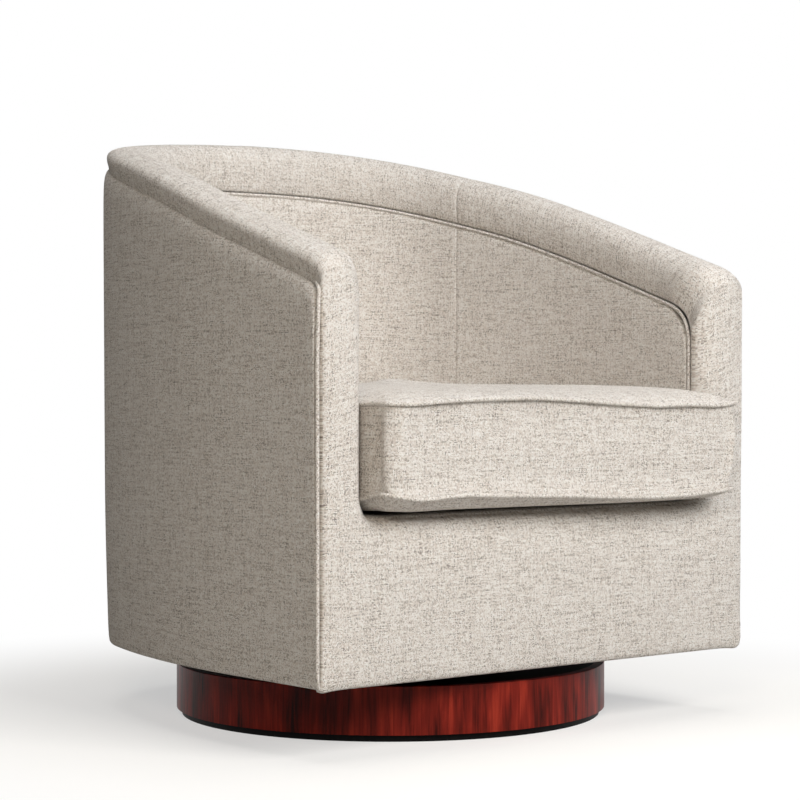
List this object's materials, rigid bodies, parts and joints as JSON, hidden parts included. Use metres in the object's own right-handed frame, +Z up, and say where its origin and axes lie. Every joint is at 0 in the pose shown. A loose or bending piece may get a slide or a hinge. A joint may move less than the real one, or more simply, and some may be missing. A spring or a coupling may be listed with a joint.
{
  "type": "swivel barrel chair",
  "caption": "Upholstered tub armchair with sloping piped arms and a loose box cushion, turning on a round veneered drum base.",
  "frame": {"origin": "on the swivel axis, at the underside of the plinth board where it meets the floor", "axes": "+Z up along the swivel axis, -Y towards the front of the seat, +X towards the right arm seen from the front"},
  "size_m": [0.725, 0.7743, 0.7965],
  "materials": {
    "linen": "woven linen look, matt",
    "piping": "woven linen look, matt",
    "veneer": "red-brown veneer, glossy lacquer",
    "black_board": "black stained edge",
    "frame_wood": "raw plywood and timber",
    "swivel_steel": "black powder coat",
    "bright_steel": "zinc plated",
    "cage_plastic": "moulded",
    "dust_cloth": "black non-woven cloth",
    "felt": "needled felt",
    "foam": "open-cell polyurethane foam",
    "zip_tape": "woven zip tape with nylon coil",
    "zip_metal": "plain cast slider"
  },
  "bodies": {
    "base": {"plinth_board": "black_board", "drum_blocks": "frame_wood", "drum_wall": "veneer", "drum_top_board": "frame_wood", "lower_swivel_plate": "swivel_steel", "lower_plate_bolts": "bright_steel", "pivot_rivet": "swivel_steel"},
    "bearing": {"ball_cage": "cage_plastic", "bearing_balls": "bright_steel"},
    "tub": {"upper_swivel_plate": "swivel_steel", "upper_plate_bolts": "bright_steel", "bottom_board": "frame_wood", "dust_cover": "dust_cloth", "front_rail": "frame_wood", "seat_rail": "frame_wood", "arm_post_left": "frame_wood", "arm_post_right": "frame_wood", "lower_studs": "frame_wood", "upper_studs": "frame_wood", "top_rail_left": "frame_wood", "top_rail_right": "frame_wood", "top_rail_back": "frame_wood", "seat_springs": "bright_steel", "spring_clips": "bright_steel", "spring_felt": "felt", "deck_pad": "foam", "deck_cloth": "linen", "edge_roll": "foam", "front_cover": "linen", "rim_band_back": "linen", "outer_cover_left": "linen", "outer_cover_right": "linen", "inner_pad_left": "linen", "inner_pad_right": "linen", "inner_pad_back": "linen", "outer_welt": "piping", "inner_welt": "piping"},
    "cushion": {"cushion_foam": "foam", "cushion_top_panel": "linen", "cushion_bottom_panel": "linen", "cushion_boxing": "linen", "cushion_zip_band": "linen", "cushion_zip": "zip_tape", "cushion_top_welt": "piping", "cushion_bottom_welt": "piping"},
    "zip_pull": {"zip_slider": "zip_metal"}
  },
  "joints": [
    {"name": "swivel", "type": "hinge", "parent": "base", "child": "tub", "pos_m": [0, 0, 0.079], "axis": [0, 0, 1], "continuous": true},
    {"name": "cage_turn", "type": "hinge", "parent": "base", "child": "bearing", "pos_m": [0, 0, 0.079], "axis": [0, 0, 1], "continuous": true},
    {"name": "cushion_lift", "type": "slide", "parent": "tub", "child": "cushion", "axis": [0, 0, 1], "range_m": [0, 0.3]},
    {"name": "zip_run", "type": "hinge", "parent": "cushion", "child": "zip_pull", "pos_m": [0.0412, 0.1288, 0.363], "axis": [0, 0, 1], "range_deg": [0, 66]}
  ],
  "couplings": [
    {"joint": "cage_turn", "follows": "swivel", "ratio": 0.5}
  ]
}
